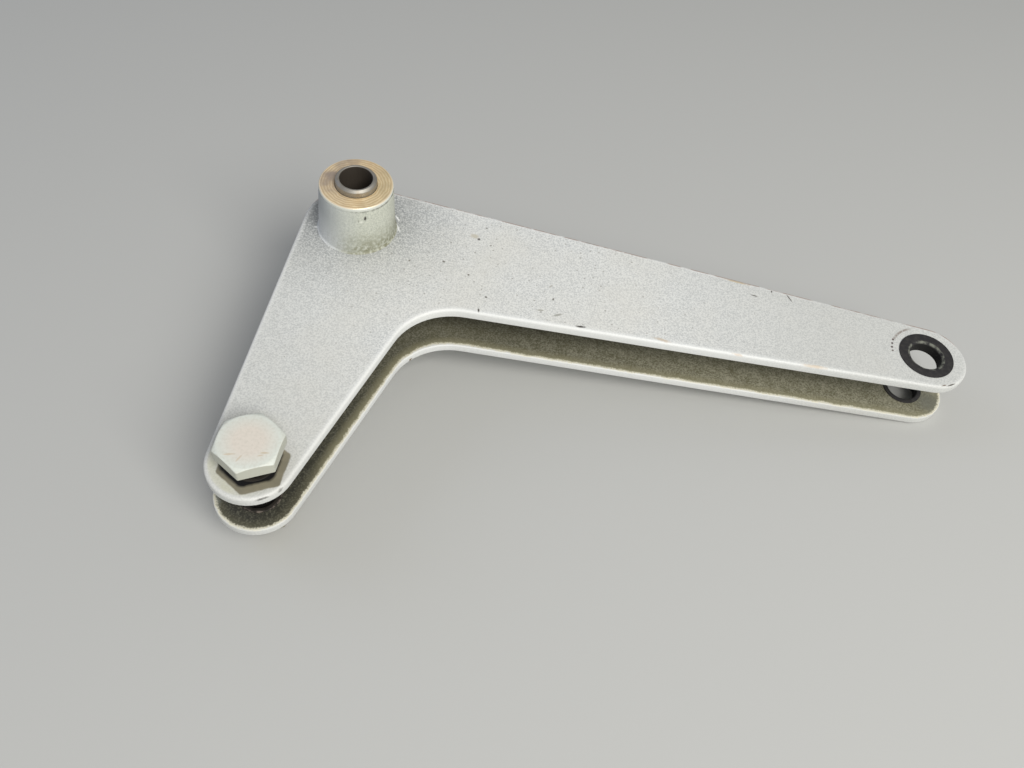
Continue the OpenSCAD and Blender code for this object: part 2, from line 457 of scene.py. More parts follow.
# %% Clevis bolt
HEAD_AF = 13.0
HEAD_LIFT = 3.7
HEAD_LOW = PLATE_OUTER / MM + HEAD_LIFT
HEAD_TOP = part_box("clevis_bolt")[1][2] / MM
BOLT_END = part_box("clevis_bolt")[0][2] / MM
COLLAR_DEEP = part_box("nut_insert")[1][2] / MM
SHANK_R = 3.92
FILLET = 0.13
FLAT_TOP_R = 6.45
FLAT_MIDDLE_R = 3.0
WASHER_FACE_R = 6.3
WASHER_FACE_DEEP = 0.4
CONE = math.tan(math.radians(30))
PITCH = 25.4 / 24
THREAD_DEEP = 0.6
THREAD_TOP = COLLAR_DEEP + 0.6
THREAD_ROWS = 44
CREST = 1.25
END_CHAMFER = 0.75


def head_radius(height):
    cone = FLAT_TOP_R + (HEAD_TOP - height) / CONE
    return lambda degrees: softer_least(hex_radius(HEAD_AF, degrees), cone)


def thread_radius(height):
    cut = SHANK_R - END_CHAMFER + (height - BOLT_END)

    def radius(degrees):
        phase = (height / PITCH - degrees / 360) % 1
        ridge = min(1.0, CREST * abs(2 * phase - 1))
        return min(SHANK_R - THREAD_DEEP * (1 - ridge), cut)

    return radius


bolt_rows = [(HEAD_TOP, FLAT_MIDDLE_R), (HEAD_TOP, FLAT_TOP_R - 0.25)]
bolt_rows += [(HEAD_TOP - 0.02, FLAT_TOP_R - 0.08)]
bolt_rows += [(HEAD_TOP - d, head_radius(HEAD_TOP - d)) for d in (0.08, 0.16, 0.26, 0.38, 0.5)]
bolt_rows += [(HEAD_TOP - d, head_radius(HEAD_TOP - d)) for d in (0.62, 0.76, 0.92, 1.2, 2.0)]
bolt_rows += [(HEAD_LOW + d, head_radius(HEAD_LOW + d)) for d in (0.7, 0.55)]
bolt_rows += [(HEAD_LOW + 0.42, lambda degrees: hex_radius(HEAD_AF, degrees) - 0.08)]
bolt_rows += [(HEAD_LOW + WASHER_FACE_DEEP, WASHER_FACE_R)]
bolt_rows += [(HEAD_LOW + 0.08, WASHER_FACE_R - 0.05), (HEAD_LOW, WASHER_FACE_R - 0.15)]
bolt_rows += [(HEAD_LOW, SHANK_R + FILLET), (HEAD_LOW - 0.03, SHANK_R + 0.04)]
bolt_rows += [(HEAD_LOW - 0.1, SHANK_R), (THREAD_TOP + 0.3, SHANK_R)]
for k in range(THREAD_ROWS + 1):
    height = THREAD_TOP + (BOLT_END - THREAD_TOP) * k / THREAD_ROWS
    bolt_rows.append((height, thread_radius(height)))
pieces["clevis_bolt"] = ringed(
    "clevis_bolt_forged", bolt_rows, ["clevis_bolt"], closed=False
)
print("bolt rings:", len(bolt_rows))

# %% [markdown]
# The lock nut is a thin hex with a round collar whose rim is rolled in over the nylon ring. Its
# section is a closed loop of rings: bearing face, hex, collar, rolled rim, pocket and bore.

# %% Lock nut
NUT_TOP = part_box("lock_nut")[1][2] / MM
NUT_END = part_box("lock_nut")[0][2] / MM
NUT_AF = 12.7
NUT_CONE_R = 6.0
COLLAR_R = 5.7
POCKET_R = 4.9
BORE_R = SHANK_R


def nut_radius(height):
    nearest_end = min(NUT_TOP - height, height - COLLAR_DEEP)
    cone = NUT_CONE_R + nearest_end / CONE
    return lambda degrees: softer_least(hex_radius(NUT_AF, degrees), cone)


nut_rows = [(NUT_TOP - 0.35, BORE_R), (NUT_TOP, BORE_R + 0.35), (NUT_TOP, NUT_CONE_R - 0.15)]
nut_rows += [(NUT_TOP - d, nut_radius(NUT_TOP - d)) for d in (0.06, 0.2, 0.4, 0.6, 0.8, 1.2)]
nut_rows += [
    (COLLAR_DEEP + d, nut_radius(COLLAR_DEEP + d)) for d in (1.2, 0.8, 0.6, 0.4, 0.2, 0.06)
]
nut_rows += [(COLLAR_DEEP, NUT_CONE_R - 0.1), (COLLAR_DEEP, COLLAR_R + 0.1)]
nut_rows += [(COLLAR_DEEP - 0.15, COLLAR_R), (NUT_END + 0.5, COLLAR_R)]
nut_rows += [(NUT_END + 0.2, COLLAR_R - 0.1), (NUT_END + 0.05, COLLAR_R - 0.3)]
nut_rows += [(NUT_END, COLLAR_R - 0.55), (NUT_END + 0.04, POCKET_R + 0.02)]
nut_rows += [(NUT_END + 0.2, POCKET_R), (COLLAR_DEEP, POCKET_R), (COLLAR_DEEP, BORE_R)]
pieces["lock_nut"] = ringed(
    "lock_nut_forged", nut_rows, ["lock_nut"], closed=True
)
print("nut rings:", len(nut_rows))

# %% [markdown]
# Every finish is built in the same way: a base colour, and layers of dirt or wear over it. A layer
# is a tint and the fades that bound it. A fade says what it follows, where it starts and where it
# is full, and its strength at those two ends where that isn't 0 and 1. A layer covers as much as
# the product of its fades. Many fades follow the distance from an upright axis, like the pivot's.

# %% Layers of dirt and wear
MIX_FACTOR, MIX_A, MIX_B = 0, 6, 7
MIX_OUT = 2


def per_mm(size):
    return 1 / (size * MM)


def layered(tree, colour, layers):
    for tint, *fades in layers:
        mask = 1.0
        for follows, start, full, *ends in fades:
            least, most = ends or (0.0, 1.0)
            span = {"From Min": start, "From Max": full, "To Min": least, "To Max": most}
            fade = add(tree, "MapRange", {"Value": follows, **span}).outputs[0]
            mask = add(tree, "Math", {0: mask, 1: fade}, operation="MULTIPLY").outputs[0]
        over = linear(tint) if isinstance(tint, str) else tint
        colour = add(
            tree, "Mix", {MIX_FACTOR: mask, MIX_A: colour, MIX_B: over}, data_type="RGBA"
        ).outputs[MIX_OUT]
    return colour


def from_axis(tree, place, x, y):
    flat = add(tree, "VectorMath", {0: place, 1: (1, 1, 0)}, operation="MULTIPLY").outputs[0]
    return add(tree, "VectorMath", {0: flat, 1: (x, y, 0)}, operation="DISTANCE").outputs["Value"]


def plug_in(tree, surface, sources):
    for name, source in sources.items():
        tree.links.new(source, surface.inputs[name])


print("a pattern of 1 mm has scale", per_mm(1))

# %% [markdown]
# A mark, such as a chip or a scratch, is an ellipsoid: a Mapping node moves, turns and shrinks
# space until the mark is a ball of radius one, and the length of the mapped point says whether a
# place lies inside it. A little noise makes its outline ragged. Each row of a list of marks gives
# the middle, length, width, depth and heading, in millimetres and degrees, and the colour.

# %% Marks
RAGGED = 0.8
MARK_EDGE = (1.7, 0.95)


def marked(tree, place, marks, strength=1.0):
    ragged = add(
        tree, "TexNoise", {"Vector": place, "Scale": per_mm(RAGGED), "Detail": 2.0}
    ).outputs["Fac"]
    layers = []
    for x, y, z, long_mm, wide_mm, deep_mm, degrees, tint in marks:
        ball = add(
            tree,
            "Mapping",
            {
                "Vector": place,
                "Location": (x * MM, y * MM, z * MM),
                "Rotation": (0, 0, math.radians(degrees)),
                "Scale": (long_mm / 2 * MM, wide_mm / 2 * MM, deep_mm / 2 * MM),
            },
            vector_type="TEXTURE",
        ).outputs[0]
        reach = add(tree, "VectorMath", {0: ball}, operation="LENGTH").outputs["Value"]
        rough = add(tree, "Math", {0: reach, 1: ragged}, operation="ADD").outputs[0]
        layers.append((tint, (rough, *MARK_EDGE, 0.0, strength)))
    return layers


print("a mark fades out between", MARK_EDGE, "of its ragged radius")

# %% [markdown]
# Sprayed enamel on steel, the finish of plates and tube. Dried spray leaves a fine grain, and
# years of handling leave yellowish patches and a scuffed half gloss. The grain is about 0.3 mm on
# the real part and is drawn a little coarser, so that it shows. The function gives the layers
# that both share, and each piece adds its own dirt on top.

# %% Sprayed enamel
GRAIN = 0.38
PATCH = 22
PEEL = 1.1


def sprayed_enamel(name, dark, light, stain):
    made, tree, surface = new_material(name)
    place = add(tree, "TexCoord").outputs["Object"]
    grain, patches, peel = (
        add(
            tree, "TexNoise", {"Vector": place, "Scale": per_mm(size), "Detail": detail}
        ).outputs["Fac"]
        for size, detail in ((GRAIN, 2.0), (PATCH, 3.0), (PEEL, 2.0))
    )
    colour = layered(
        tree,
        linear(dark),
        [(light, (grain, 0.35, 0.62)), (stain, (patches, 0.45, 0.75, 0.0, 0.4))],
    )
    gloss = add(tree, "MapRange", {"Value": patches, "To Min": 0.42, "To Max": 0.62}).outputs[0]
    bump = add(tree, "Bump", {"Height": peel, "Strength": 0.35, "Distance": 0.05 * MM}).outputs[0]
    plug_in(tree, surface, {"Roughness": gloss, "Normal": bump})
    return made, tree, surface, place, grain, colour


print("enamel grain scale", per_mm(GRAIN))

# %% [markdown]
# The plates' paint. Its fades follow geometry: the distance to the cut edge that the mesh stores,
# and the distance from the pivot, the bolt and the long arm's hole. Round the tube a grey painted
# shade darkens the paint, broken up by its grain and darkest behind the tube and to its left,
# where its shadow falls. Towards both tips hands have greyed it.

# %% Plate paint: painted shade round the tube, grey towards the tips
ROOT_AT = (45 * MM, -8 * MM)
TUBE_SHADOW_SIDE = (-0.55, 0.65, 0)

enamel, tree, surface, place, grain, colour = sprayed_enamel(
    "sprayed_enamel_plates", "#bec1c1", "#e0e2e0", "#d6d4ca"
)
xyz = add(tree, "SeparateXYZ", {0: place}).outputs
edge_mm = add(tree, "Attribute", attribute_name="edge_mm").outputs["Fac"]
coarse = add(tree, "TexNoise", {"Vector": place, "Scale": per_mm(3), "Detail": 4.0}).outputs["Fac"]
from_root = from_axis(tree, place, *ROOT_AT)
towards_tube_shadow = add(
    tree, "VectorMath", {0: place, 1: TUBE_SHADOW_SIDE}, operation="DOT_PRODUCT"
).outputs["Value"]
# Painted shade: the tube's shadow on the plate, heaviest behind it and to its left.
near_tube_shade = (from_axis(tree, place, 0, 0), 30 * MM, 10 * MM)
in_tube_shadow = (towards_tube_shadow, -14 * MM, 10 * MM, 0.47, 1.75)
grainy = (grain, 0.85, 0.2)
handled = (from_root, 30 * MM, 78 * MM, 0.0, 0.44)
layers = [("#7f8385", near_tube_shade, in_tube_shadow, grainy), ("#b4b5b0", handled)]
print("paint layers:", len(layers))

# %% [markdown]
# Dust and dirt specks. A Voronoi pattern puts one random point in each cell of a grid. A speck is
# the small spot round that point, and the cell's random colour picks its size. Sparse specks lie
# in cells of 3 mm. Fine, faint ones, in cells of 2.2 mm, crowd the root of the arms.

# %% Plate paint: specks
SPECKS = ((3, 0.08, 0.6, "3D"), (2.2, 0.13, 0.5, "2D"))
SPECK_EDGE = 0.04

specks = []
for cell_mm, largest, strength, plane in SPECKS:
    cells = add(
        tree,
        "TexVoronoi",
        {"Vector": place, "Scale": per_mm(cell_mm)},
        voronoi_dimensions=plane,
    ).outputs
    pick = add(tree, "SeparateColor", {0: cells["Color"]}).outputs[0]
    size = add(tree, "MapRange", {"Value": pick, "From Min": 0.4, "To Max": largest}).outputs[0]
    inset = add(tree, "Math", {0: size, 1: cells["Distance"]}, operation="SUBTRACT").outputs[0]
    specks.append((inset, 0.0, SPECK_EDGE, 0.0, strength))
sparse, fine = specks
near_root = (from_root, 60 * MM, 25 * MM, 0.3, 1.0)
on_face = (edge_mm, 0.7, 1.0)
layers += [("#5d574d", sparse), ("#6d675c", fine, near_root, on_face)]
print("paint layers with specks:", len(layers))

# %% [markdown]
# Oil and edges. Oil has yellowed the face left of the bolt. Wet paint gathers on a rounded edge,
# so the rim is the whitest part, with small brown chips, and on the far side its upper corner has
# been rubbed down to a reddish brown.

# %% Plate paint: oil, edges and chips
from_bolt = from_axis(tree, place, BOLT_AT.x, BOLT_AT.y)
near_bolt = (from_bolt, 13 * MM, 8 * MM, 0.0, 0.9)
leftward = (xyz[0], 5 * MM, -4 * MM)
cloudy = (coarse, 0.0, 1.0)
rim = (edge_mm, 1.4, 0.2, 0.0, 0.75)
cleaner = (from_root, 50 * MM, 90 * MM, 1.0, 0.35)
chips = (coarse, 0.71, 0.74)
on_rim = (edge_mm, 0.3, 0.05)
rubbed = (coarse, 0.38, 0.55)
far_side = (xyz[1], 4 * MM, 8 * MM, 0.0, 0.9)
far_rim = (edge_mm, 0.8, 0.5)
upper_corner = (xyz[2], PLATE_OUTER - 0.5 * MM, PLATE_OUTER - 0.3 * MM)
layers += [
    ("#c9c8ab", near_bolt, leftward, on_face, cloudy),
    ("#e6e8e7", rim, cleaner),
    ("#7a6650", chips, on_rim),
    ("#97796a", rubbed, far_side, far_rim, upper_corner),
]
print("paint layers with edges:", len(layers))

# %% [markdown]
# A rod end has scored an arc round the long arm's hole. It is a thin ring at one distance from the
# hole, kept to its inboard, upper part and broken up by the paint's grain.

# %% Plate paint: scored arc
ARC_R = 8.7

from_end = from_axis(tree, place, END_AT.x, END_AT.y)
off_arc = add(tree, "Math", {0: from_end, 1: ARC_R * MM}, operation="SUBTRACT").outputs[0]
off_arc = add(tree, "Math", {0: off_arc}, operation="ABSOLUTE").outputs[0]
on_arc = (off_arc, 0.45 * MM, 0.1 * MM)
inboard = (xyz[0], END_AT.x - 3 * MM, END_AT.x - 5 * MM)
above = (xyz[1], 2.4 * MM, 3.6 * MM)
broken = (grain, 0.3, 0.55, 0.0, 0.8)
layers.append(("#705e52", on_arc, inboard, above, broken))
print("paint layers with the arc:", len(layers))

# %% [markdown]
# Under the bolt's head the paint has torn away. The head left a hexagon of brown primer, and
# inside it a darker one, black with old grease and painted darker still as the shade under the
# raised head. The distance to a hexagon is the largest of three distances across its flats, so
# three dot products and their maximum give the outline. A circle takes the points off its
# corners, and noise frays it.

# %% Worn seat under the bolt's head
FRAY = 0.8


def hexagon(centre, flats, corner_r, soft):
    off = add(tree, "VectorMath", {0: place, 1: (*centre, 0)}, operation="SUBTRACT").outputs[0]
    reach = from_axis(tree, place, *centre)
    past_flats = (corner_r - flats / 2) * MM
    widest = add(tree, "Math", {0: reach, 1: past_flats}, operation="SUBTRACT").outputs[0]
    for k in range(3):
        turn = math.radians(HEX_CORNER + 30 + 60 * k)
        across = (math.cos(turn), math.sin(turn), 0)
        along = add(tree, "VectorMath", {0: off, 1: across}, operation="DOT_PRODUCT")
        half = add(tree, "Math", {0: along.outputs["Value"]}, operation="ABSOLUTE").outputs[0]
        widest = add(tree, "Math", {0: half, 1: widest}, operation="MAXIMUM").outputs[0]
    frayed = add(
        tree, "Math", {0: coarse, 1: FRAY * MM, 2: widest}, operation="MULTIPLY_ADD"
    ).outputs[0]
    edge = (flats / 2 + FRAY / 2) * MM
    return (frayed, edge + soft * MM, edge - soft * MM)


on_top = (xyz[2], PLATE_OUTER - 0.1 * MM, PLATE_OUTER)
primer_at = (BOLT_AT.x + 0.45 * MM, BOLT_AT.y - 0.6 * MM)
grease_and_shade_at = (BOLT_AT.x - 0.3 * MM, BOLT_AT.y + 0.1 * MM)
seat_primer = layered(tree, linear("#69675a"), [("#97907a", cloudy)])
# The black inner hexagon is old grease with painted shade from the lifted head laid over it.
layers += [
    (seat_primer, hexagon(primer_at, 13.4, 7.6, 0.15), on_top),
    ("#0b0b0c", hexagon(grease_and_shade_at, 11.9, 6.5, 0.3), on_top),
]
print("paint layers with the seat:", len(layers))

# %% [markdown]
# Single marks that the eye finds first: scratches at both tips, a dark nick in the long arm's
# edge, stains along the far edge, white chips beside the tube and a handful of specks.

# %% Marks on the upper plate
TOP = PLATE_OUTER / MM
plate_marks = [
    (3.84, -80.44, 7.75, 6.6, 0.6, 1.1, 36, "#2f2a24"),
    (7.5, -76.8, 7.9, 2.2, 0.8, 2.0, 48, "#3a352d"),
    (60.8, -16.2, TOP, 2.6, 0.7, 1.0, 8, "#3a3631"),
    (35.8, -18.4, TOP, 1.2, 0.5, 1.0, -75, "#4c4842"),
    (30.7, 5.0, TOP, 0.8, 0.8, 1.0, 0, "#46423c"),
    (29.4, 5.8, TOP, 2.4, 1.6, 1.0, 0, "#c4c0b3"),
    (54.7, -14.2, TOP, 2.6, 0.7, 1.0, 30, "#a2a29b"),
    (50.3, -13.9, TOP, 2.0, 0.6, 1.0, 10, "#a9a9a2"),
    (51.5, -5.4, TOP, 1.4, 0.5, 1.0, 60, "#b2b2ac"),
    (52.8, -9.5, TOP, 0.5, 0.8, 1.0, 0, "#63605a"),
    (36.6, -13.7, TOP, 0.7, 0.6, 1.0, 0, "#5a564e"),
    (23.9, -5.3, TOP, 0.8, 0.7, 1.0, 0, "#6b675f"),
    (30.9, -7.8, TOP, 0.6, 0.6, 1.0, 0, "#6b675f"),
    (15.7, -7.6, TOP, 0.6, 0.6, 1.0, 0, "#807d75"),
    (31.8, 9.5, TOP, 0.5, 0.5, 1.0, 0, "#75726b"),
    (34.1, 3.7, TOP, 0.5, 0.5, 1.0, 0, "#7d7a73"),
    (58.8, 12.6, TOP, 3.2, 0.5, 1.0, -2, "#6f6255"),
    (74.8, 12.5, TOP, 0.9, 0.6, 1.0, 0, "#4a4038"),
    (102.9, 7.2, TOP, 2.2, 0.35, 1.0, -4, "#4f4942"),
    (107.3, 10.0, TOP, 0.4, 0.9, 1.0, 0, "#3f3a34"),
    (112.0, 9.0, TOP, 2.6, 0.35, 1.0, -55, "#4f4942"),
    (98.0, 10.6, TOP, 7.0, 0.6, 1.0, -2, "#c2b59c"),
    (80.8, -14.5, TOP, 4.4, 0.9, 1.0, -4, "#cabfb0"),
    (118.8, -11.8, TOP, 6.6, 1.0, 1.0, 5, "#cbbfae"),
    (99.8, -13.6, TOP, 3.2, 0.7, 1.0, -2, "#d3c8bb"),
    (152.8, -7.7, TOP, 2.6, 0.4, 1.0, 32, "#4d4842"),
    (151.0, -8.4, TOP, 1.6, 0.35, 1.0, 28, "#75695e"),
    (8.9, 5.9, TOP, 2.6, 0.5, 1.0, -45, "#eceeed"),
    (10.1, 2.4, TOP, 3.2, 0.5, 1.0, -58, "#e6e8e7"),
    (-9.6, -3.4, TOP, 1.2, 0.8, 1.0, 20, "#e2e4e3"),
    (138.8, 3.0, TOP, 0.6, 0.7, 1.0, 0, "#4a3a38"),
    (138.5, 1.7, TOP, 0.6, 0.8, 1.0, 0, "#40302f"),
    (138.4, 0.4, TOP, 0.7, 0.7, 1.0, 0, "#40302f"),
    (138.5, -0.7, TOP, 0.6, 0.6, 1.0, 0, "#54443f"),
]
layers += marked(tree, place, plate_marks)
print("marks:", len(plate_marks))

# %% [markdown]
# The inner faces got only what drifted in from the gun: grainy, yellowish white along the edge,
# gone within a millimetre or so, and reaching a little further in at the inner corner. The fade
# follows the stored distance to the edge, pushed about by noise.

# %% Inner faces: overspray along the edge
INNER_CORNER_AT = (31 * MM, -23 * MM)
DRIFT = 1.05

from_corner = from_axis(tree, place, *INNER_CORNER_AT)
blown_in = add(
    tree,
    "MapRange",
    {"Value": from_corner, "From Min": 16 * MM, "From Max": 6 * MM, "To Max": 0.3},
).outputs[0]
drift = add(tree, "Math", {0: grain, 1: coarse}, operation="ADD").outputs[0]
drift = add(tree, "Math", {0: drift, 1: DRIFT, 2: -DRIFT}, operation="MULTIPLY_ADD").outputs[0]
reach = add(tree, "Math", {0: edge_mm, 1: drift}, operation="ADD").outputs[0]
reach = add(tree, "Math", {0: reach, 1: blown_in}, operation="SUBTRACT").outputs[0]
height = add(tree, "Math", {0: xyz[2]}, operation="ABSOLUTE").outputs[0]
inside = (height, PLATE_INNER + 0.3 * MM, PLATE_INNER + 0.1 * MM)
dusted = (reach, 0.0, 0.4)
layers.append(("#d8d5c2", dusted, inside))
print("paint layers with overspray:", len(layers))

# %% [markdown]
# Past the overspray lies the blotchy olive brown of old primer. Oil has darkened it, more and
# more towards the bolt, though the grain still shows through. Towards the edge it has gone tan,
# most in the short arm. On the lower plate a paler grey patch lies near the short tip, and near
# the long tip a painted shadow of the upper plate's tip darkens the face.

# %% Inner faces: old primer and oil
SHORT_ARM_AT = (14 * MM, -45 * MM)
TIP_PATCH_AND_SHADOW = 0.7

blotch = add(tree, "Math", {0: coarse, 1: 0.4, 2: grain}, operation="MULTIPLY_ADD").outputs[0]
blotchy = (blotch, 0.53, 0.87)
oiled = (from_bolt, 115 * MM, 12 * MM)
speckled = (grain, 0.65, 0.4, 0.72, 1.0)
tan = (reach, 3.0, 0.6)
in_short_arm = (from_axis(tree, place, *SHORT_ARM_AT), 36 * MM, 18 * MM, 0.7, 0.85)
off_tip = (from_bolt, 9 * MM, 18 * MM, 0.35, 1.0)
bare = (reach, 0.45, 0.9)
inner_marks = [
    # Near the short tip a paler patch, and near the long tip a painted shadow of the upper plate's
    # tip.
    (-9.4, -75.0, -PLATE_INNER / MM, 2.4, 9.0, 2.0, 20, "#868980"),
    (154.6, -3.0, -PLATE_INNER / MM, 9.0, 8.0, 2.0, 0, "#62645c"),
]
primer_layers = [
    ("#93917f", blotchy),
    ("#2b2b25", oiled, speckled),
    ("#37332b", sparse),
    ("#8f8b70", tan, in_short_arm, off_tip),
]
primer_layers += marked(tree, place, inner_marks, TIP_PATCH_AND_SHADOW)
old_primer = layered(tree, linear("#5a5844"), primer_layers)
layers.append((old_primer, bare, inside))
plug_in(tree, surface, {"Base Color": layered(tree, colour, layers)})
for name in ("upper_plate", "lower_plate"):
    pieces[name].data.materials.append(enamel)
print("plate paint layers:", len(layers), "and in the primer:", len(primer_layers))

# %% [markdown]
# The tube has the same enamel, greener and warmer with oil from the bearing. Towards its left a
# cool, grey painted shade darkens it. Mottled dirt sits at its foot, most on the right, and on the
# left pale overspray from the plate covers it, also painted lighter to lift the shade on that side.
# A dark line shows where the bushing's flange meets the tube, and between the plates dirt has
# settled all round. The flange's side was painted along with the tube.

# %% Tube paint
FOOT = PLATE_OUTER

tube_enamel, tree, surface, place, grain, colour = sprayed_enamel(
    "sprayed_enamel_tube", "#afb3a8", "#c8cbbf", "#c4c5b5"
)
xyz = add(tree, "SeparateXYZ", {0: place}).outputs
height = add(tree, "Math", {0: xyz[2]}, operation="ABSOLUTE").outputs[0]
blots = add(
    tree, "TexNoise", {"Vector": place, "Scale": per_mm(0.8), "Detail": 3.0}
).outputs["Fac"]
cool_painted_shade = (xyz[0], 4 * MM, -4 * MM, 0.0, 0.6)
shaded = (xyz[0], -1 * MM, -9.5 * MM, 0.0, 0.75)
grainy = (grain, 0.35, 0.6, 0.6, 1.0)
foot = (height, FOOT + 8 * MM, FOOT + 1 * MM)
to_right = (xyz[0], -8 * MM, 4 * MM)
mottled = (blots, 0.35, 0.62, 0.15, 1.0)
joint = (height, TUBE_TOP - 0.45 * MM, TUBE_TOP - 0.15 * MM)
opened = (xyz[0], 0.0, 6 * MM, 0.2, 1.0)
overspray_and_painted_light = (xyz[0], 1 * MM, -6 * MM, 0.0, 0.85)
low_down = (height, FOOT + 9 * MM, FOOT + 2 * MM)
in_gap = (height, PLATE_INNER + 0.5 * MM, PLATE_INNER - 0.3 * MM)
settled = (blots, 0.3, 0.7, 0.6, 0.9)
# The cool and shaded layers are painted shade on the tube's left, and the pale overspray on the
# left foot is partly painted light.
layers = [
    ("#bfc4c7", cool_painted_shade),
    ("#8f959d", shaded, grainy),
    ("#83836d", foot, to_right, mottled),
    ("#55564f", joint, opened, mottled),
    ("#e3e6e7", overspray_and_painted_light, low_down, grainy),
    ("#8a8672", in_gap, settled),
]
tube_marks = [
    (4.6, -7.9, 19.4, 0.7, 0.7, 1.3, 0, "#3c3a34"),
    (3.7, -8.3, 18.4, 1.0, 1.0, 0.8, 0, "#dadcd2"),
    (3.1, -8.5, 18.7, 0.4, 0.6, 0.9, 0, "#8d8f82"),
]
layers += marked(tree, place, tube_marks)
plug_in(tree, surface, {"Base Color": layered(tree, colour, layers)})
pieces["pivot_tube"].data.materials.append(tube_enamel)
print("tube paint layers:", len(layers))

# %% [markdown]
# Bearing bronze, faced on a lathe: a soft yellow metal with fine rings from the tool, stained
# brown where oil has dried and dulled in patches on both sides. The tool marks are some 0.1 mm
# apart and are drawn at 0.7 mm, so that they show. A pale ring at the face's outer edge is a
# painted highlight. The flange's side carries the tube's paint.

# %% Faced bronze
WAVE_PERIOD = math.pi / 10
TOOL_MARK = 0.7
PAINTED_FROM = 8.84 * MM
PAINTED_FULL = 8.96 * MM

bronze, tree, surface = new_material("faced_bearing_bronze")
place = add(tree, "TexCoord").outputs["Object"]
across = add(tree, "SeparateXYZ", {0: place}).outputs[0]
radius = from_axis(tree, place, 0, 0)
rings = add(
    tree,
    "TexWave",
    {"Vector": place, "Scale": WAVE_PERIOD * per_mm(TOOL_MARK), "Distortion": 4.0, "Detail": 3.0},
    wave_type="RINGS",
    rings_direction="Z",
).outputs["Fac"]
stain = add(tree, "TexNoise", {"Vector": place, "Scale": per_mm(5), "Detail": 4.0}).outputs["Fac"]
ridges = (rings, 0.0, 1.0)
old_oil = (stain, 0.48, 0.68, 0.0, 0.5)
on_left = (across, 1 * MM, -6 * MM, 0.0, 0.95)
on_right = (across, 2 * MM, 8 * MM, 0.0, 0.95)
patchy = (stain, 0.28, 0.62)
edge = (radius, 8.5 * MM, 8.7 * MM, 0.0, 0.7)
painted = (radius, PAINTED_FROM, PAINTED_FULL)
layers = [
    ("#f8e5c0", ridges),
    ("#c4a67c", old_oil),
    ("#a4968a", on_left, patchy),
    ("#bcae8a", on_right, patchy),
    # A painted highlight where the rounded rim of the face catches the light.
    ("#eedfc4", edge),
    ("#d6d9d1", painted),
]
colour = layered(tree, linear("#dcc092"), layers)
metal = add(
    tree,
    "MapRange",
    {
        "Value": radius,
        "From Min": PAINTED_FROM,
        "From Max": PAINTED_FULL,
        "To Min": 0.35,
        "To Max": 0.0,
    },
).outputs[0]
bump = add(tree, "Bump", {"Height": rings, "Strength": 0.5, "Distance": 0.02 * MM}).outputs[0]
plug_in(tree, surface, {"Base Color": colour, "Metallic": metal, "Normal": bump})
surface.inputs["Roughness"].default_value = 0.42
for name in ("upper_pivot_bushing", "lower_pivot_bushing"):
    pieces[name].data.materials.append(bronze)
print("bronze rings scale", WAVE_PERIOD * per_mm(TOOL_MARK))

# %% [markdown]
# The sleeve is ground steel tube: bright, with fine scratches round it where it turned in its
# bushings, and a bore dark with old grease and painted darker still as the shade deep inside it.

# %% Ground steel
BORE_FROM = 4.15 * MM
BORE_FULL = 4.0 * MM
STRETCHED_ROUND = (0.15, 0.15, 1)

ground, tree, surface = new_material("ground_steel")
place = add(tree, "TexCoord").outputs["Object"]
radius = from_axis(tree, place, 0, 0)
drawn_out = add(tree, "VectorMath", {0: place, 1: STRETCHED_ROUND}, operation="MULTIPLY").outputs[0]
scratch = add(
    tree, "TexNoise", {"Vector": drawn_out, "Scale": per_mm(0.3), "Detail": 4.0}
).outputs["Fac"]
smear = add(tree, "TexNoise", {"Vector": place, "Scale": per_mm(3), "Detail": 3.0}).outputs["Fac"]
scratched = (scratch, 0.0, 1.0)
oily = (smear, 0.5, 0.7, 0.0, 0.6)
in_bore = (radius, BORE_FROM, BORE_FULL)
# The dark bore is old grease and painted shade.
layers = [("#b5b2ab", scratched), ("#a0937c", oily), ("#39332c", in_bore)]
colour = layered(tree, linear("#a5a199"), layers)
rough = add(tree, "MapRange", {"Value": scratch, "To Min": 0.5, "To Max": 0.7}).outputs[0]
metal = add(
    tree,
    "MapRange",
    {
        "Value": radius,
        "From Min": BORE_FROM,
        "From Max": BORE_FULL,
        "To Min": 1.0,
        "To Max": 0.0,
    },
).outputs[0]
bump = add(tree, "Bump", {"Height": scratch, "Strength": 0.3, "Distance": 0.01 * MM}).outputs[0]
plug_in(
    tree,
    surface,
    {"Base Color": colour, "Roughness": rough, "Metallic": metal, "Normal": bump},
)
pieces["pivot_sleeve"].data.materials.append(ground)
print("ground steel layers:", len(layers))

# %% [markdown]
# The long arm's bushings are steel with a black phosphate coat: matt, almost without highlights,
# dusty, and rubbed to olive grey in patches round the mouth of the bore. That olive grey ring on
# the top face is also a painted highlight of the bore's edge.

# %% Black phosphate
phosphate, tree, surface = new_material("black_phosphate_steel")
place = add(tree, "TexCoord").outputs["Object"]
height = add(tree, "SeparateXYZ", {0: place}).outputs[2]
radius = from_axis(tree, place, END_AT.x, END_AT.y)
dust = add(tree, "TexNoise", {"Vector": place, "Scale": per_mm(1.2), "Detail": 5.0}).outputs["Fac"]
dusty = (dust, 0.45, 0.75, 0.0, 0.7)
in_bore = (radius, 4.2 * MM, 4.05 * MM)
mouth_wear_and_highlight = (radius, 4.8 * MM, 4.5 * MM)
at_top = (height, PLATE_OUTER - 0.3 * MM, PLATE_OUTER, 0.0, 1.3)
torn = (dust, 0.4, 0.6, 0.0, 0.85)
